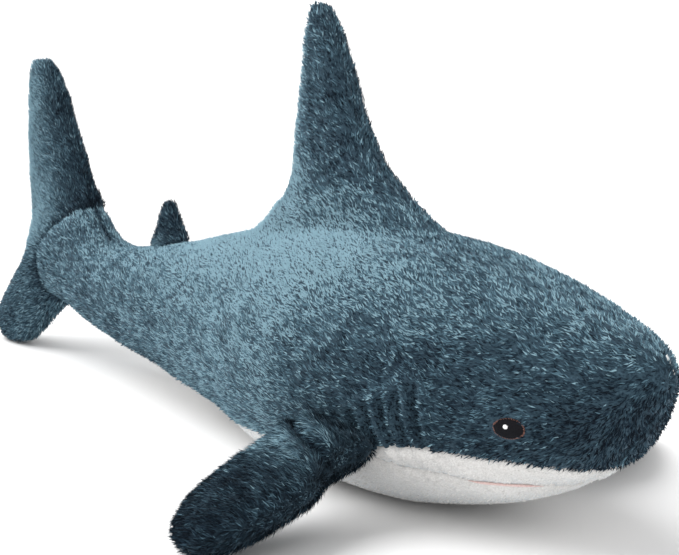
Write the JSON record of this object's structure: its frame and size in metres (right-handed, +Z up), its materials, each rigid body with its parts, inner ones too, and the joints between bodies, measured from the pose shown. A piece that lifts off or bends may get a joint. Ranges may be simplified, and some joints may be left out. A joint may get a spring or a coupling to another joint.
{
  "type": "plush shark",
  "caption": "Large stuffed toy shark lying on its belly, with a bending tail stock, a swinging tail fin and floppy pectoral fins.",
  "frame": {"origin": "on the floor, under the middle of the toy's bounding box", "axes": "+X towards the nose, +Z up through the back, +Y to the shark's left"},
  "size_m": [1, 0.4752, 0.356],
  "materials": {
    "blue_plush": "short dense pile, brushed",
    "dark_blue_plush": "longer, fuzzier pile",
    "white_plush": "short pile",
    "pink_plush": "short pile",
    "fibre": "loose spun polyester fibre",
    "black_thread": "satin stitch",
    "brown_thread": "satin stitch",
    "white_thread": "satin stitch",
    "blue_thread": "sewing thread",
    "label_ribbon": "smooth woven ribbon"
  },
  "bodies": {
    "trunk": {"right_side_panel": "blue_plush", "left_side_panel": "blue_plush", "right_dorsal_panel": "blue_plush", "left_dorsal_panel": "blue_plush", "belly_panel": "white_plush", "right_lip_panel": "white_plush", "left_lip_panel": "white_plush", "mouth_lining": "pink_plush", "trunk_filling": "fibre", "dorsal_filling": "fibre", "right_eye_pupil": "black_thread", "right_eye_ring": "brown_thread", "right_eye_highlight": "white_thread", "left_eye_pupil": "black_thread", "left_eye_ring": "brown_thread", "left_eye_highlight": "white_thread", "right_gill_stitches": "blue_thread", "left_gill_stitches": "blue_thread"},
    "tail_stock": {"right_tail_panel": "blue_plush", "left_tail_panel": "blue_plush", "tail_belly_panel": "white_plush", "tail_stock_filling": "fibre", "right_rear_dorsal_panel": "dark_blue_plush", "left_rear_dorsal_panel": "dark_blue_plush", "belly_closing_stitches": "white_thread", "care_label": "label_ribbon"},
    "tail_fin": {"right_tail_fin_panel": "dark_blue_plush", "left_tail_fin_panel": "dark_blue_plush", "tail_fin_filling": "fibre"},
    "right_pectoral": {"right_pectoral_upper_panel": "dark_blue_plush", "right_pectoral_lower_panel": "dark_blue_plush", "right_pectoral_filling": "fibre"},
    "left_pectoral": {"left_pectoral_upper_panel": "dark_blue_plush", "left_pectoral_lower_panel": "dark_blue_plush", "left_pectoral_filling": "fibre"}
  },
  "joints": [
    {"name": "tail_bend", "type": "hinge", "parent": "trunk", "child": "tail_stock", "pos_m": [-0.07, 0, 0.09], "axis": [0, 0, 1], "range_deg": [-20, 20], "stiffness_Nm_per_rad": 4},
    {"name": "tail_fin_swing", "type": "hinge", "parent": "tail_stock", "child": "tail_fin", "pos_m": [-0.34, 0, 0.1001], "axis": [0, 0.1772, 0.9842], "range_deg": [-15, 15], "stiffness_Nm_per_rad": 2},
    {"name": "right_pectoral_flap", "type": "hinge", "parent": "trunk", "child": "right_pectoral", "pos_m": [0.28, -0.122, 0.0567], "axis": [-1, 0, 0], "range_deg": [-10, 60], "stiffness_Nm_per_rad": 0.6},
    {"name": "left_pectoral_flap", "type": "hinge", "parent": "trunk", "child": "left_pectoral", "pos_m": [0.28, 0.122, 0.0567], "axis": [1, 0, 0], "range_deg": [-10, 60], "stiffness_Nm_per_rad": 0.6}
  ]
}
